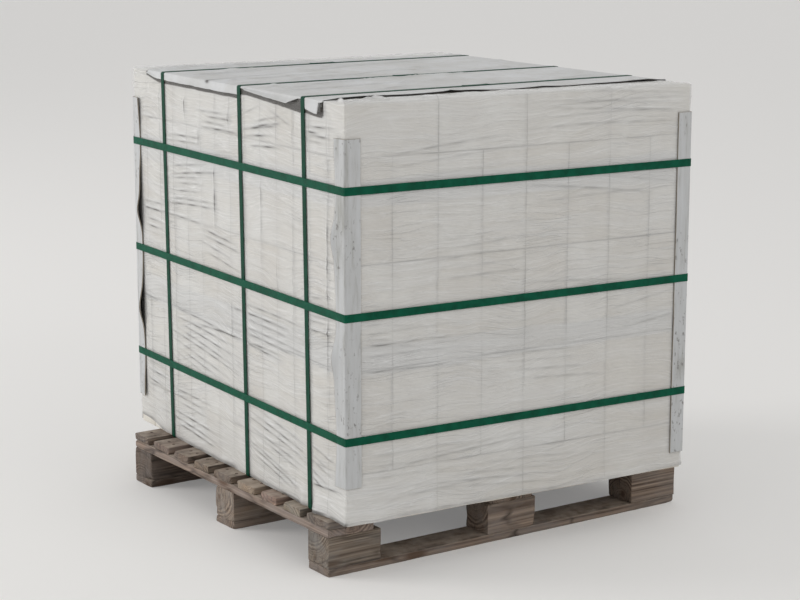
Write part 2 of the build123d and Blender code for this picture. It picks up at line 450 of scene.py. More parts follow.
def strap_material(name, base):
    """Embossed plastic strap: a fine diamond pattern, and darker and paler wear."""
    g = Graph(bpy.data.materials.new(name))
    band = g.parts(g.attribute("band", "Vector"))
    fineness = 2500.0
    u, v = (g.math("MULTIPLY", band[axis], fineness) for axis in ("X", "Y"))
    diamonds = [g.math("SINE", g.math(operation, u, v)) for operation in ("ADD", "SUBTRACT")]
    emboss = g.math("MULTIPLY", *diamonds)
    wear = g.noise(g.position(), 45.0, 6.0, 0.65)
    dark = (*[0.62 * c for c in base[:3]], 1.0)
    pale = (*[0.85 * c + 0.015 for c in base[:3]], 1.0)
    body = g.ramp(wear, (0.35, dark), (0.60, base), (0.90, pale))
    body = g.mix(g.span(emboss, -1.0, 1.0, 0.0, 0.22), body, dark)
    return g.finish(body, 0.5, {"Specular IOR Level": 0.1, **g.bump(emboss, 0.5, 0.0002)})


def nail_material():
    """Rusty steel."""
    g = Graph(bpy.data.materials.new("nail"))
    rust = g.noise(g.position(), 300.0, 4.0)
    rust = g.ramp(rust, (0.35, colour(70, 52, 42)), (0.65, colour(118, 104, 92)))
    return g.finish(rust, 0.6, {"Metallic": 0.6})


def stations(length, ends, count):
    """Places along an edge: the given ones at both ends, and even ones between."""
    ends = np.array(ends)
    between = np.linspace(ends[-1], length - ends[-1], count + 1)
    return np.unique(np.concatenate([ends, between, length - ends]).round(6))


def box_skin(*axes):
    """Points and faces of a box's skin, from the places along X, Y and Z."""
    points, faces, seen = [], [], {}
    counts = [len(places) - 1 for places in axes]

    def point(key):
        if key not in seen:
            seen[key] = len(points)
            points.append([places[i] for places, i in zip(axes, key)])
        return seen[key]

    for axis in range(3):
        a, b = (axis + 1) % 3, (axis + 2) % 3
        for end in (0, counts[axis]):
            for i, j in np.ndindex(counts[a], counts[b]):
                corners = [(i, j), (i + 1, j), (i + 1, j + 1), (i, j + 1)]
                if end == 0:
                    corners.reverse()
                keys = [{axis: end, a: p, b: q} for p, q in corners]
                faces.append([point((k[0], k[1], k[2])) for k in keys])
    return np.array(points), np.array(faces)


def worn(points, size, radius):
    """Round the edges of a box's skin, by a radius given for each point."""
    core = np.clip(points, radius, size - radius)
    away = points - core
    length = np.linalg.norm(away, axis=1, keepdims=True)
    return np.where(length > 0, core + away / np.maximum(length, 1e-9) * radius, points)


def chipped(points, size, rng, count, reach, depth):
    """Extra wear at random places on a box's edges, for each point."""
    extra = np.zeros((len(points), 1))
    for _ in range(count):
        centre = rng.uniform(0, 1, 3) * size
        for axis in rng.permutation(3)[:2]:
            centre[axis] = round(centre[axis] / size[axis]) * size[axis]
        distance = np.linalg.norm(points - centre, axis=1, keepdims=True)
        strength = depth * rng.uniform(0.4, 1.0)
        extra += strength * hump(distance, 0.0, reach * rng.uniform(0.5, 1.3))
    return extra


def timber_piece(node, along, material, tint, seed):
    """A sawn piece over a CAD node: worn and chipped edges, and rough ends."""
    rng = np.random.default_rng(seed)
    low, high = (np.array(corner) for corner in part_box(node))
    size = high - low
    steps = [0.02 if axis == along else 0.011 for axis in range(3)]
    counts = [max(2, round(length / step)) for length, step in zip(size, steps)]
    near_edge = (0.0, 0.0012, 0.003, 0.0065)
    flat, faces = box_skin(*[stations(length, near_edge, n) for length, n in zip(size, counts)])
    x, y, z = flat.T
    wear = 0.0022 + 0.0012 * noise(seed, x * 45 + z * 31, y * 45 - z * 27)[:, None]
    wear = wear + chipped(flat, size, rng, 9, 0.016, 0.006)
    shaped = worn(flat, size, np.minimum(wear, 0.4 * size.min()))
    from_middle = flat[:, along] / size[along] - 0.5
    rough = 0.0009 * (1 + noise(seed + 1, x * 160, y * 160 + z * 130))
    shaped[:, along] -= np.where(np.abs(from_middle) > 0.4995, np.sign(from_middle) * rough, 0.0)
    name = node.replace("board", "plank") if "board" in node else f"{node}_timber"
    piece = new_piece(name, shaped + low, faces, 32)
    order = [along, *[axis for axis in range(3) if axis != along]]
    pith = (rng.uniform(0, 9), rng.uniform(-0.03, 0.03), rng.choice((-1, 1)) * rng.uniform(0.01, 0.09))
    give(piece, "grain", (shaped - 0.5 * size)[:, order] + pith)
    give(piece, "tint", np.tile(tint, (len(shaped), 1)))
    dress(piece, material, slots[node], node)


def make_timber():
    """Every timber piece, each with its own tint; those that the front shows as they look there."""
    material = timber_material()
    deck_tints = (
        (0.70, 0.68, 0.68), (0.81, 0.74, 0.73), (0.74, 0.71, 0.71),
        (0.80, 0.78, 0.74), (0.70, 0.68, 0.67), (1.20, 1.15, 1.05),
        (1.05, 0.89, 0.86), (1.06, 1.12, 1.10), (0.72, 0.72, 0.73),
    )
    tints = {f"deck_board_{number}": tint for number, tint in enumerate(deck_tints, 1)}
    tints |= {
        # The front left block and the left bottom board are darker, partly by their own tone and partly
        # by painted shade
        "block_front_left": (0.51, 0.49, 0.49),
        "block_front_centre": (1.05, 1.04, 1.02),
        "block_front_right": (0.78, 0.82, 0.84),
        "bottom_board_left": (0.62, 0.60, 0.60),
        "stringer_front": (1.06, 1.02, 1.04),
    }
    nodes = sorted(node for node in frame["nodes"] if slots[node] in ("pallet_timber", "deck_timber"))
    for seed, node in enumerate(nodes, 100):
        rng = np.random.default_rng(seed)
        along = 0 if node.startswith("stringer") else 1
        tint = tints.get(node, np.array((0.90, 0.88, 0.88)) * rng.uniform(0.86, 1.06))
        timber_piece(node, along, material, tint, seed)


def make_nails():
    """Domed nail heads in the deck boards over the front and back stringers."""
    sides, from_end, across_board = 12, 0.026, (0.28, 0.72)
    rings = ((0.0042, -0.0006), (0.0041, 0.0003), (0.0030, 0.0007), (0.0012, 0.0009))
    turn = np.arange(sides) * math.tau / sides
    head = np.array([(r * math.cos(a), r * math.sin(a), z) for r, z in rings for a in turn])
    index = grid(len(rings), sides)
    faces = [*quads_over(index), index[-1], index[0][::-1]]
    rng = np.random.default_rng(7)
    heads = []
    for number in range(1, 10):
        low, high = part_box(f"deck_board_{number}")
        for end in (-1, 1):
            for share in across_board:
                x = low.x + share * (high.x - low.x) + rng.uniform(-0.006, 0.006)
                y = end * (high.y - from_end - rng.uniform(0, 0.012))
                heads.append((head + (x, y, high.z), faces))
    piece = new_piece("deck_nails", *joined(heads))
    piece.data.materials.append(nail_material())
    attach(piece, "root")


def make_bricks():
    """Worn bricks, each set in by a hair; those that nothing shows are left out."""
    material = brick_material()
    for course, rows in course_rows.items():
        low, high = (np.array(corner) for corner in load_box(f"brick_course_{course}"))
        rng = np.random.default_rng(500 + course)
        size = (high - low + brick_joint) / (brick_columns, rows, 1) - brick_joint
        flat, faces = box_skin(*[stations(length, (0.0, 0.0016, 0.004), 3) for length in size])
        last = np.array((brick_columns - 1, rows - 1))
        points, quads, tones = [], [], []
        for place in np.ndindex(brick_columns, rows):
            at_face = (place == last) | (np.array(place) == 0)
            if not at_face.any() and course not in whole_courses:
                continue
            wear = 0.0021 + 0.0009 * rng.uniform(-0.3, 1, (len(flat), 1))
            wear = wear + chipped(flat, size, rng, 2, 0.009, 0.005)
            corner = low + (*place, 0) * (size + brick_joint)
            inward = np.sign(last / 2 - place) * rng.uniform(0.0, 0.0011, 3)[:2]
            corner[:2] += inward * np.where(at_face, 2.2, 0.2)
            quads.append(faces + len(points) * len(flat))
            points.append(worn(flat, size, wear) + corner)
            tones.append(np.full(len(flat), rng.uniform(0, 1) ** 2))
        piece = new_piece(f"bricks_{course}", turned(np.concatenate(points)), np.concatenate(quads), 35)
        give(piece, "tone", np.concatenate(tones))
        dress(piece, material, "firebrick", f"brick_course_{course}")


class Loop:
    """A way round a rectangle with rounded corners: each place, the way out there, how far
    along it is and on which side; each corner has a place at each of the turns, 0 to 1."""

    def __init__(self, corners, radius, counts, turns=(0.5,)):
        corners = np.array(corners, float)
        rows, start = [], 0.0
        for side, count in enumerate(counts):
            a, b = corners[side], corners[(side + 1) % 4]
            length = np.linalg.norm(b - a)
            forth = (b - a) / length
            out = (a + b) / 2 - corners.mean(axis=0)
            out = out / np.linalg.norm(out)
            for step in np.linspace(radius, length - radius, count):
                rows.append((*(a + forth * step), *out, start + step, side))
            start += length
            for angle in np.array(turns) * math.pi / 2:
                way = out * math.cos(angle) + forth * math.sin(angle)
                rows.append((*(b - radius * (out + forth) + radius * way), *way, start, side))
        rows = np.array(rows)
        self.place, self.normal, self.walk = rows[:, :2], rows[:, 2:4], rows[:, 4]
        self.side = rows[:, 5].astype(int)
        self.on_ends = np.isin(self.side, (front, back))
        self.length = start
        self.around = self.walk / start

    def ahead_of(self, place):
        """How far each place is ahead of one, or behind it, the shorter way round."""
        return (self.walk - place + self.length / 2) % self.length - self.length / 2


def load_loop(out_x, out_y, radius, counts):
    """Round the load, from its front left corner along its front, right, back and left."""
    return Loop([(-out_x, -out_y), (out_x, -out_y), (out_x, out_y), (-out_x, out_y)], radius, counts)


def strap_x(name, z, y):
    """Where an upright strap's middle is along the load's front, at a height and a depth."""
    low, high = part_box(upright_nodes[name])
    share = (z - deck_top) / (load_top - deck_top)
    in_gap = (low.x + high.x) / 2 / math.cos(load_turn)
    return in_gap - y * math.tan(load_turn) + strap_lean * share


def level_strap_place(name):
    """The height of a level strap's middle, and its width."""
    low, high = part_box(level_nodes[name])
    return (low.z + high.z) / 2, high.z - low.z


def from_corner(path):
    """How far each place is from the nearest upright edge of the load."""
    return np.linalg.norm(np.abs(path.place) - (half_x, half_y), axis=1)


def guard_heights(path, z, beyond):
    """1 where a place is as high as the guard of its corner, and 0 that far beyond its ends."""
    beside = np.zeros_like(z)
    for name, (*signs, _) in guards.items():
        low, high = load_box(f"corner_guard_{name}")
        here = (np.sign(path.place) == signs).all(axis=1)
        under, over = low.z - beyond, high.z + beyond
        tall = smooth(z, under, under + 0.03) * (1.0 - smooth(z, over - 0.03, over))
        beside = np.where(here, tall, beside)
    return beside


def film_ease(path, z):
    """How freely the film stands off the bricks: 0 under a strap, guard or flap, else 1."""
    x, y = path.place.T
    ease = np.ones_like(z)
    for name in upright_nodes:
        apart = np.abs(x - strap_x(name, z, y))
        ease *= np.where(path.on_ends, smooth(apart, 0.007, 0.034), 1.0)
    for name in level_nodes:
        ease *= 0.12 + 0.88 * smooth(np.abs(z - level_strap_place(name)[0]), 0.008, 0.040)
    beside_guard = 1.0 - smooth(from_corner(path), 0.041, 0.075)
    ease *= 1.0 - beside_guard * guard_heights(path, z, 0.03)
    under_flap = path.on_ends & (np.abs(x) < sheet_half + 0.004)
    return ease * np.where(under_flap, 1.0 - smooth(z, load_top - 0.060, load_top - 0.045), 1.0)


def flap_edges(along):
    """How far below the load's top the front flap of the sheet ends, and how far the shade
    under it reaches, by the distance from the load's left end."""
    _, second, third = (strap_x(name, load_top, -half_y) + half_x for name in upright_nodes)
    end = load_width - sheet_inset
    stops = (
        (sheet_inset - 0.012, 0.003, 0.010),
        (sheet_inset + 0.058, 0.017, 0.025),
        (second - 0.004, 0.020, 0.028),
        (second + 0.006, 0.002, 0.018),
        (second + 0.036, 0.005, 0.017),
        (third - 0.060, 0.017, 0.030),
        (third - 0.014, 0.002, 0.034),
        (third + 0.004, 0.002, 0.034),
        (third + 0.008, 0.025, 0.032),
        (end - 0.018, 0.029, 0.036),
        (end - 0.012, 0.029, 0.036),
        (end - 0.004, 0.001, 0.036),
        (end + 0.004, 0.001, 0.030),
    )
    places, edge, shade = zip(*stops)
    wave = 0.0006 * layered(200, along / 0.05, 0.5, 3)
    return np.interp(along, places, edge) + wave, np.interp(along, places, shade) + wave


# Fans of near parallel lines that the front's film shows: the middle of each fan along the
# front and above the deck, its slope, how much steeper each line is than the one below, and
# the number of its lines, their spacing and their half length
front_fans = (
    (0.320, 0.660, 0.10, 0.010, 7, 0.017, 0.125),
    (0.480, 0.530, -0.10, 0.020, 4, 0.021, 0.080),
    (0.370, 0.270, -0.12, 0.016, 8, 0.018, 0.150),
    (0.300, 0.085, -0.05, 0.012, 6, 0.019, 0.130),
    (0.700, 0.370, -0.03, 0.010, 6, 0.020, 0.130),
    (0.740, 0.105, -0.17, 0.012, 8, 0.017, 0.130),
    (0.950, 0.110, -0.22, 0.020, 5, 0.018, 0.070),
    (0.700, 0.830, 0.12, 0.030, 5, 0.016, 0.090),
    (0.945, 0.845, 0.01, 0.014, 4, 0.010, 0.055),
    (0.470, 0.830, 0.01, 0.006, 4, 0.014, 0.075),
    (0.300, 0.760, 0.03, 0.008, 3, 0.017, 0.080),
    (0.950, 0.450, 0.05, 0.020, 5, 0.019, 0.060),
    (0.110, 0.560, 0.00, 0.020, 4, 0.022, 0.060),
    (0.110, 0.160, -0.04, 0.020, 4, 0.020, 0.060),
)
# Single folds and level brick joints there: the same, then slope, half length and depth
front_folds = (
    (0.560, 0.328, 0.01, 0.260, 1.0),
    (0.240, 0.574, 0.00, 0.215, 0.8),
    (0.085, 0.804, 0.00, 0.055, 0.7),
    (0.080, 0.344, 0.00, 0.050, 0.6),
    (0.080, 0.114, 0.00, 0.050, 0.5),
    (0.660, 0.875, 0.30, 0.060, 0.9),
    (0.780, 0.868, -0.26, 0.060, 0.9),
    (0.980, 0.068, 0.06, 0.090, 1.0),
)
# Upright brick joints there: the same, then angle, half length and depth
front_uprights = (
    (0.153, 0.850, 1.57, 0.045, 0.7),
    (0.297, 0.845, 1.57, 0.036, 0.9),
    (0.373, 0.780, 1.57, 0.034, 0.9),
    (0.453, 0.645, 1.57, 0.085, 1.0),
    (0.533, 0.850, 1.57, 0.040, 0.7),
    (0.538, 0.370, 1.57, 0.060, 0.7),
    (0.691, 0.650, 1.56, 0.150, 0.6),
    (0.845, 0.620, 1.57, 0.260, 0.5),
    (0.998, 0.560, 1.56, 0.360, 0.9),
)
other_fans = 64


def film_pulls():
    """The lines that are pulled in the film: where each one's middle is, along the way round
    and above the deck, its angle, its half length and how deep it is."""
    rng = np.random.default_rng(70)
    pulls = []
    for along, above, slope, spread, count, spacing, reach in front_fans:
        for n in range(count):
            step = n - (count - 1) / 2
            jitter = rng.uniform(-1.0, 1.0, 4)
            pulls.append((
                along + 0.030 * jitter[0],
                above + spacing * (step + 0.25 * jitter[1]),
                math.atan(slope + spread * step + 0.015 * jitter[2]),
                1.3 * reach * (0.85 + 0.3 * jitter[3]),
                rng.uniform(0.55, 1.0),
            ))
    pulls += [(along, above, math.atan(slope), *size) for along, above, slope, *size in front_folds]
    pulls += front_uprights
    for _ in range(other_fans):
        along = rng.uniform(load_width, 2 * (load_width + load_depth))
        above, slope = rng.uniform(0.03, 0.90), rng.normal(-0.02, 0.08)
        reach, spacing = rng.uniform(0.08, 0.26), rng.uniform(0.014, 0.032)
        for n in range(rng.integers(1, 6)):
            level = above + spacing * n + rng.uniform(-0.004, 0.004)
            start = along + rng.uniform(-0.06, 0.06)
            angle = math.atan(slope + 0.012 * n)
            pulls.append((start, level, angle, reach, rng.uniform(0.10, 0.45)))
    return pulls


def creases(path, z):
    """The pulled lines as a height, as whitening above them and as painted shade in the folds below."""
    height, crease, fold = (np.zeros_like(z) for _ in range(3))
    for n, (start, above, angle, reach, depth) in enumerate(film_pulls()):
        ahead, up = path.ahead_of(start), z - deck_top - above
        along = ahead * math.cos(angle) + up * math.sin(angle)
        aside = up * math.cos(angle) - ahead * math.sin(angle) + 0.10 * along**2
        fade = depth * np.clip(1.0 - (along / reach) ** 2, 0, 1)
        fade = fade * (0.75 + 0.25 * np.sin(85 * along + n))
        height += 0.0022 * fade * hump(aside, 0.002, 0.0036)
        crease += fade * hump(aside, 0.004, 0.0030)
        # Painted shade along the fold just below each pulled line
        fold += 1.1 * fade * hump(aside, -0.001, 0.0025)
    return height, np.clip(crease, 0, 1), np.clip(fold, 0, 1)


def film_relief(path, z):
    """How far the film stands off at each place and height, how creased it is and how much painted
    shade its folds get.
    """
    level = z + 0.055 * layered(20, path.around * 9, z / 0.45, 2, 9)
    loose = 0.0011 * (1.0 + layered(30, path.around * 14, z / 0.19, 3, 14))
    fine = np.clip(1.0 - np.abs(layered(40, path.around * 26, level / 0.017, 2, 26)), 0, 1)
    broad = np.clip(1.0 - np.abs(layered(50, path.around * 17, level / 0.046, 2, 17)), 0, 1)
    patches = smooth(layered(60, path.around * 11, z / 0.22, 2, 11), -0.4, 0.8)
    ridges = 0.0013 * fine**7 * patches + 0.0014 * broad**8
    pulled, pale, grey = creases(path, z)
    ease = film_ease(path, z)
    relief = np.minimum((np.clip(loose, 0, None) + ridges + pulled) * ease, film_stand_off)
    marked = 0.35 + 0.65 * ease
    return relief, np.clip(0.8 * pale + 0.5 * fine**9 * patches, 0, 1) * marked, grey * marked


def wall_places(path, z):
    """Each place's count of bricks along its side, its height over the nearest level joint,
    and the length of a brick there."""
    levels = np.array([load_box(f"brick_course_{course}")[0].z for course in course_rows])
    course = np.clip(np.searchsorted(levels, z, side="right") - 1, 0, len(levels) - 1)
    rows = np.array(list(course_rows.values()))[course]
    along = np.where(path.on_ends, path.place[:, 0] + half_x, path.place[:, 1] + half_y)
    pitch = np.where(path.on_ends, load_width / brick_columns, load_depth / rows)
    count = np.where(path.on_ends, brick_columns, rows)
    nearest = np.abs(z[..., None] - levels[1:]).argmin(axis=-1)
    along = np.clip(along / pitch, 0.5, count - 0.5)
    return np.stack([along, z - levels[1:][nearest], pitch], axis=-1)


def painted_shade(path, z, low):
    """Painted shade: the shadow under the sheet's front flap, in the gaps behind the guards and along
    the hem.
    """
    along = path.place[:, 0] + half_x
    edge, shade = flap_edges(along)
    under = load_top - z
    # Painted shadow: a band under the sheet's front flap, down to where its shade reaches
    band = smooth(under, edge - 0.006, edge - 0.004)
    band = band * (1.0 - smooth(under, shade - 0.001, shade + 0.001))
    covered = (along > sheet_inset - 0.010) & (along < load_width - sheet_inset + 0.003)
    flap_shadow = np.where((path.side == front) & covered, band, 0.0)
    # Painted shade along the hem, unevenly dark and darker at the front
    uneven = 0.7 + 0.4 * layered(121, path.around * 60, 0.5, 3, 60)
    hem_shadow = np.clip((1.0 - smooth(z - low, 0.0035, 0.0105)) * uneven, 0, 1)
    hem_shadow = hem_shadow * np.where(path.side == front, 0.9, 0.45)
    # Painted shade in the gap behind each guard, seen where its arms bow off the film
    guard_gap_shadow = 0.9 * (1.0 - smooth(from_corner(path), 0.031, 0.038))
    return np.clip(flap_shadow + hem_shadow + guard_gap_shadow * guard_heights(path, z, -0.005), 0, 1)


def hem(path, z, low):
    """The bottom edge's flare: loose, wavy, and widest round the front right corner."""
    corner = hump(path.ahead_of(load_width), 0.0, 0.17)
    wave = np.clip(0.55 + 0.6 * layered(80, path.around * 34, 0.5, 3, 34), 0.0, 1.2)
    limit = np.where(path.on_ends, 0.0065, 0.0042) + 0.012 * corner
    flare = 1.0 - smooth(z, low, low + 0.045 + 0.030 * corner)
    return np.minimum((0.0045 + 0.016 * corner) * wave, limit) * flare * film_ease(path, z)


def film_rim_points(path, turn_gap):
    """Rows of the highest turn that lie inwards over the bricks, and how creased they are."""
    around = path.around
    out = np.abs(path.place).max(axis=0)
    reach = film_rim + 0.012 * layered(90, around * 20, 0.5, 3, 20)
    near_right = hump(path.walk, load_width, 0.13)
    rows, marks = [], []
    for share in np.linspace(0.0, 1.0, film_rim_rows)[2:]:
        inset = share**1.25 * reach
        place = path.place * (out - inset[:, None]) / out
        bare = smooth(np.abs(place[:, 0]), sheet_half + 0.003, sheet_half + 0.022)
        fold = np.clip(layered(91, around * 150 + 5 * share, share * 2.2, 3, 150), 0, 1.4)
        soft = 0.0016 * (1.0 + layered(95, around * 34, inset / 0.03, 3, 34))
        loose = fold * (0.0022 + 0.0085 * near_right) + np.clip(soft, 0, None)
        rise = np.minimum(0.0002 + bare * loose * smooth(share, 0.0, 0.10), 0.0125)
        rows.append(np.column_stack([place, load_top + turn_gap + rise]))
        marks.append(0.25 + 0.6 * np.clip(fold, 0, 1) * bare)
    return np.array(rows), np.array(marks)


def film_levels(layer, low, high, path):
    """The heights of a turn's rows all round, from its wavy lower edge up."""
    depth = 0.004 if layer == 0 else 0.010
    edge = low + depth * (0.5 + 0.5 * layered(100 + layer, path.around * 13, 0.5, 4, 13))
    if layer == 0:
        # The lowest turn starts higher at the front's left end
        edge = edge + 0.014 * (path.side == front) * (1.0 - smooth(path.walk, 0.05, 0.16))
    shares = np.linspace(0.0, 1.0, round((high - low) / film_row_height))[:, None]
    if layer < top_turn:
        high_edge = high + 0.009 * layered(110 + layer, path.around * 9, 0.5, 3, 9)
    else:
        high_edge = load_top - film_corner
        close = np.linspace(1.0 - 0.05 / (high - low), 1.0, film_rim_rows)[:, None]
        shares = np.concatenate([shares[shares[:, 0] < close[0, 0]], close])
    return edge + shares * (high_edge - edge)


def make_film():
    """Three turns of film; each overlaps the one below, and the last closes over the top edge."""
    material = film_material()
    lengths = (load_width, load_depth, load_width, load_depth)
    counts = [round(length / width) for length, width in zip(lengths, film_column_widths)]
    path = load_loop(half_x + film_gap, half_y + film_gap, film_corner, counts)
    for layer, (name, (low, high)) in enumerate(film_turns.items()):
        gap = layer * film_turn_step
        z = film_levels(layer, low, high, path)
        relief, crease, fold = film_relief(path, z)
        if layer == 0:
            relief = relief + hem(path, z, low)
        # Painted shade under the flap, behind the guards and along the hem joins the folds' painted
        # shade
        fold = np.maximum(fold, painted_shade(path, z, z[0] if layer == 0 else 0.0))
        wall = wall_places(path, z)
        off = (relief + gap)[..., None]
        points = np.concatenate([path.place + path.normal * off, z[..., None]], axis=-1)
        flat_height = high - low
        if layer == top_turn:
            flat_height += film_rim
            rim, rim_marks = film_rim_points(path, gap + film_gap)
            # One row for the bend over the top edge, then those over the bricks
            bend = points[-1:].copy()
            bend[..., :2] -= path.normal * 0.3 * film_corner
            bend[..., 2] = load_top + film_gap + gap - 0.3 * film_corner
            points = np.concatenate([points, bend, rim])
            crease = np.concatenate([crease, crease[-1:], rim_marks])
            fold = np.concatenate([fold, np.zeros((len(rim) + 1, fold.shape[1]))])
            wall = np.concatenate([wall, np.repeat(wall[-1:], len(rim) + 1, axis=0)])
        piece = new_piece(name, turned(points), quads_over(grid(*points.shape[:2])))
        give(piece, "crease", crease)
        give(piece, "fold", fold)
        give(piece, "wall", wall)
        dress(piece, material, "film", "stretch_film")


def sheet_freedom(x, y):
    """0 where an upright strap presses the top sheet down, and 1 away from it."""
    free = 1.0
    for name in upright_nodes:
        free = free * smooth(np.abs(x - strap_x(name, load_top, y)), 0.009, 0.050)
    return free


def sheet_flap(side, x, drops, stand):
    """Rows of a flap from its lower edge up, and of the bend over the load's top edge."""
    share = np.linspace(1.0, 0.0, sheet_flap_rows)[:, None]
    wave = 0.0012 * share * layered(204, x / 0.035, share * 2, 3) * sheet_freedom(x, side * half_y)
    flap_y = sheet_y + stand * share**1.6 + np.abs(wave)
    flap_z = sheet_level - sheet_bend - share * (drops - sheet_bend)
    angle = np.outer((0.25, 0.5, 0.75), np.full_like(x, math.pi / 2))
    y = np.concatenate([flap_y, sheet_y - sheet_bend + sheet_bend * np.cos(angle)])
    z = np.concatenate([flap_z, sheet_level - sheet_bend + sheet_bend * np.sin(angle)])
    return np.stack(np.broadcast_arrays(x, side * y, z), axis=-1)


def sheet_top(x):
    """Rows of the sheet over the load's top: waved, folded, and curled up a little at its ends."""
    y = np.linspace(sheet_bend - sheet_y, sheet_y - sheet_bend, sheet_top_rows)[:, None]
    waves = layered(210, x / 0.17, y / 0.21, 4)
    waves = waves + 0.45 * layered(215, x / 0.045 + y / 0.3, y / 0.11, 3)
    folds = np.clip(1.0 - np.abs(layered(220, x / 0.10 + y / 0.35, y / 0.26, 2)), 0, 1) ** 9
    free = smooth(sheet_y - np.abs(y), sheet_bend, 0.045) * sheet_freedom(x, y)
    rise = free * (0.0018 * (1.0 + waves) + 0.0036 * folds)
    curl = 0.004 * smooth(np.abs(x), sheet_half - 0.03, sheet_half)
    curl = curl * (1 + noise(230, y / 0.09, 0.0)) / 2
    z = sheet_level + np.clip(rise, 0, None) + curl
    return np.stack(np.broadcast_arrays(x, y, z), axis=-1)


def make_top_sheet():
    """The sheet lies on the load, pressed down by the straps, and its flaps hang at both ends."""
    low, high = load_box("top_sheet")
    x = np.linspace(low.x, high.x, sheet_columns)
    _, second, third = sorted(strap_x(name, load_top, -half_y) for name in upright_nodes)
    share = np.clip((x - second) / (third - second), 0, 1)
    stand = 0.0050 + 0.0075 * np.sin(math.pi * share).clip(0, 1) ** 0.7
    stand = stand * sheet_freedom(x, -half_y) + 0.003 * smooth(x, high.x - 0.05, high.x)
    back_stand = 0.002 + 0.005 * np.clip(layered(203, x / 0.16, 0.5, 3), 0, 1)
    back_stand = back_stand * sheet_freedom(x, half_y)
    drops = np.maximum(flap_edges(x + half_x)[0], 0.0042)
    back_drops = 0.033 + 0.004 * layered(202, x / 0.12, 0.5, 4)
    front_rows = sheet_flap(-1, x, drops, stand)
    back_rows = sheet_flap(1, x, back_drops, back_stand)[::-1]
    rows = np.concatenate([front_rows, sheet_top(x), back_rows])
    piece = new_piece("top_sheet_cover", turned(rows), quads_over(grid(*rows.shape[:2]), False))
    from_mark = rows - (sheet_mark - half_x, -sheet_y, load_top - 0.001)
    give(piece, "mark", hump(np.linalg.norm(from_mark / (0.009, 0.03, 0.004), axis=2), 0.0, 1.0))
    body = piece.modifiers.new("thickness", "SOLIDIFY")
    body.thickness, body.offset = 0.0009, 0.0
    dress(piece, sheet_material(), "sheet", "top_sheet")


def ribbon(places, out, across, width, closed):
    """A strap along places, given the way out and the way across it: its points and faces, and
    where each point is along and on the strap."""
    a, b = width / 2, width / 2 - strap_edge
    low, high = strap_edge, strap_thickness - strap_edge
    section = np.array([
        (-b, 0.0), (b, 0.0), (a, low), (a, high),
        (b, strap_thickness), (-b, strap_thickness), (-a, high), (-a, low),
    ])
    out, across = (np.broadcast_to(way, places.shape)[:, None] for way in (out, across))
    points = places[:, None] + across * section[:, :1] + out * section[:, 1:]
    steps = np.linalg.norm(np.diff(places, axis=0), axis=1)
    walked = np.concatenate([[0.0], np.cumsum(steps)])[:, None]
    band = np.stack(np.broadcast_arrays(walked, *section.T), axis=-1)
    index = grid(len(places), len(section))
    if closed:
        faces = quads_over(np.concatenate([index, index[:1]]))
    else:
        faces = [*quads_over(index), index[0][::-1], index[-1]]
    return points.reshape(-1, 3), faces, band.reshape(-1, 3)


def strap_piece(name, node, material, loop, tail):
    """One strap: its loop and the outer end of its weld, as one mesh."""
    points, faces = joined([loop[:2], tail[:2]])
    piece = new_piece(name, turned(points), faces, 40)
    give(piece, "band", np.concatenate([loop[2], tail[2]]))
    dress(piece, material, "strap", node)


def make_upright_straps():
    """Over the sheet, down the front and back, and through the gaps of the deck."""
    material = strap_material("strap_upright", colour(8, 72, 52))
    across, up = (1.0, 0.0, 0.0), (0.0, 0.0, 1.0)
    for name, node in upright_nodes.items():
        low, high = load_box(node)
        width = (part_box(node)[1].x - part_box(node)[0].x) / math.cos(load_turn)
        y, bottom = high.y - strap_thickness, low.z + strap_thickness
        top = high.z - 2 * strap_thickness
        corners = ((-y, bottom), (-y, top), (y, top), (y, bottom))
        path = Loop(corners, strap_bend, [60] * 4, (0.33, 0.67))
        x = strap_x(name, np.clip(path.place[:, 1], deck_top, load_top), path.place[:, 0])
        x = x + 0.0006 * layered(300 + len(name), path.place[:, 1] / 0.3, 0.5, 2)
        outs = np.column_stack([np.zeros(len(x)), path.normal])
        loop = ribbon(np.column_stack([x, path.place]), outs, across, width, True)
        lift = 0.0004 * smooth(np.abs(weld), weld[-1] - 0.014, weld[-1])
        tail_x = strap_x(name, load_top, weld) + 0.0007
        tail = np.column_stack([tail_x, weld, top + strap_thickness + lift])
        tail = ribbon(tail, up, across, width, False)
        strap_piece(f"upright_band_{name}", node, material, loop, tail)


def make_level_straps():
    """Round the four guards, welded at the back."""
    material = strap_material("strap_level", colour(2, 88, 64))
    back_way, up = (0.0, 1.0, 0.0), (0.0, 0.0, 1.0)
    for name, node in level_nodes.items():
        height, width = level_strap_place(name)
        high = load_box(node)[1]
        out_y = high.y - 2 * strap_thickness
        path = load_loop(high.x - strap_thickness, out_y, guard_round, [40] * 4)
        count = len(path.place)
        outs = np.column_stack([path.normal, np.zeros(count)])
        loop = ribbon(np.column_stack([path.place, np.full(count, height)]), outs, up, width, True)
        tail = [(step, out_y + strap_thickness, height + 0.0008) for step in weld]
        tail = ribbon(np.array(tail), back_way, up, width, False)
        strap_piece(f"level_band_{name}", node, material, loop, tail)


def guard_line(inset):
    """One face of a guard's section, that far in from its outside: arm, rounded bend, arm."""
    places = (0.0400, 0.0392, 0.034, 0.026, 0.018, 0.011, 0.0065)
    radius = guard_round - inset
    bend = [
        (-inset - radius * (1 - math.sin(a)), -inset - radius * (1 - math.cos(a)))
        for a in np.linspace(0, math.pi / 2, 5)
    ]
    return [(-t, -inset) for t in places] + bend + [(-inset, -t) for t in places[::-1]]


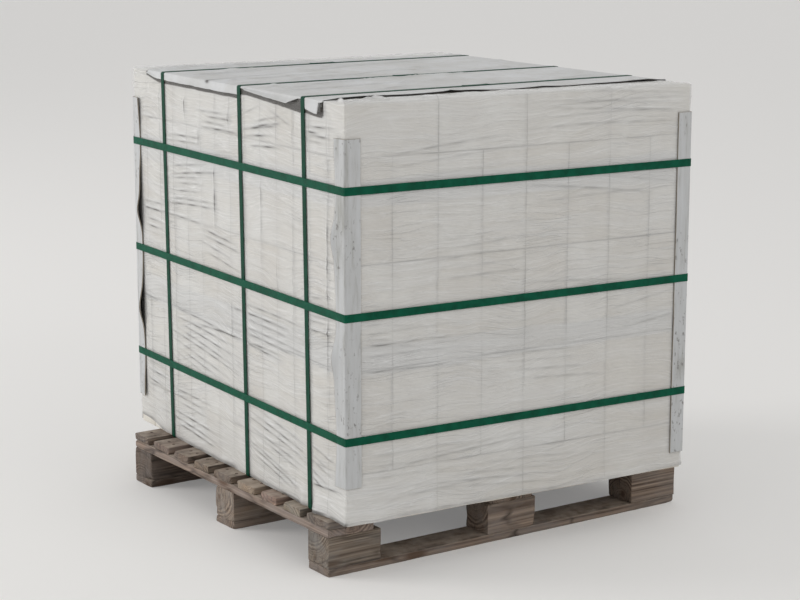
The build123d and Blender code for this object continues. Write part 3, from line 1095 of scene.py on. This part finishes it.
def guard_bow(seed, levels, z):
    """How much a guard's free edges stand off at each height, from 0, under a strap, to 1."""
    held = 1.0
    for strap in level_nodes:
        held = held * smooth(np.abs(z - level_strap_place(strap)[0]), 0.010, 0.11)
    bow = 0.25 + 0.15 * layered(seed, z / 0.20, 0.5, 2)
    for level in levels:
        bow += 0.75 * hump(z, level, 0.042)
    return held * np.clip(bow, 0, 1)


def guard_faces(index, mirrored):
    """The faces round a guard and over both its ends."""
    half = index.shape[1] // 2
    ends = [quads_over(np.stack([row[:half], row[::-1][:half]]), False) for row in index[[0, -1]]]
    faces = np.concatenate([quads_over(index), ends[0], ends[1][:, ::-1]])
    return faces[:, ::-1] if mirrored else faces


def make_guards():
    """Board angles: each arm's free edge bows off the film between the straps."""
    material = guard_material()
    section = np.array(guard_line(0.0) + guard_line(guard_board)[::-1])
    half = len(section) // 2
    side_arm, front_arm = np.clip((-section.T - 0.006) / 0.034, 0, 1) ** 1.5
    for seed, (name, (sign_x, sign_y, levels)) in enumerate(guards.items(), 400):
        node = f"corner_guard_{name}"
        low, high = load_box(node)
        z = stations(high.z - low.z, (0.0, 0.0008, 0.004), 70)[:, None] + low.z
        bow = guard_bow(seed, levels, z)
        u = section[:, 0] + 0.0009 * bow * front_arm
        v = section[:, 1] + 0.0135 * bow * side_arm
        x = (high.x if sign_x > 0 else low.x) + sign_x * u
        y = (high.y if sign_y > 0 else low.y) + sign_y * v
        points = np.stack(np.broadcast_arrays(x, y, z), axis=-1)
        index = grid(*points.shape[:2])
        faces = guard_faces(index, sign_x * sign_y > 0)
        piece = new_piece(f"guard_{name}", turned(points), faces, 40)
        on_edge = np.zeros(index.shape)
        on_edge[[0, -1]] = 1.0
        on_edge[:, [0, half - 1, half, -1]] = 1.0
        give(piece, "core", on_edge)
        dress(piece, material, "guard_board", node)


def make_floor():
    """A pale floor that keeps the object's shadow."""
    g = Graph(bpy.data.materials.new("floor"))
    glow = {
        "Emission Color": (1.0, 1.0, 1.0, 1.0),
        "Emission Strength": g.math("MULTIPLY", g.seen(), 0.16),
    }
    bpy.ops.mesh.primitive_plane_add(size=60.0)
    floor = bpy.context.object
    floor.name = "floor"
    floor.data.materials.append(g.finish(colour(226, 224, 221), 0.9, glow))


def make_world():
    """An even white all round, brighter where it is seen than as light on the object."""
    world = bpy.data.worlds.new("studio")
    bpy.context.scene.world = world
    g = Graph(world)
    strength = g.span(g.seen(), 0.0, 1.0, 0.58, 0.90)
    g.set(g.nodes["Background"], {"Color": (1.0, 1.0, 1.0, 1.0), "Strength": strength})


def aimed(data, place, point):
    """A lamp or camera at a place, turned towards a point."""
    holder = bpy.data.objects.new(data.name, data)
    holder.location = place
    holder.rotation_euler = (Vector(point) - Vector(place)).to_track_quat("-Z", "Y").to_euler()
    bpy.context.scene.collection.objects.link(holder)
    return holder


def make_lamps():
    """Two large soft lamps: the main one before the front, and a weak one at the right."""
    for name, place, size, power in (
        ("key", (-5.4, -7.0, 3.0), 4.0, 330.0),
        ("side", (5.2, 0.8, 3.2), 3.0, 45.0),
    ):
        lamp = bpy.data.lights.new(name, "AREA")
        lamp.energy, lamp.size = power, size
        aimed(lamp, place, (0.0, 0.0, 0.6)).visible_camera = False


def make_camera():
    """The photograph's view, in plain colours."""
    camera = bpy.data.cameras.new("camera")
    camera.lens = lens
    bpy.context.scene.camera = aimed(camera, eye, target)
    bpy.context.scene.view_settings.view_transform = "Standard"


for make in (
    make_timber, make_nails, make_bricks, make_film, make_top_sheet, make_upright_straps,
    make_level_straps, make_guards, make_floor, make_world, make_lamps, make_camera,
):
    make()
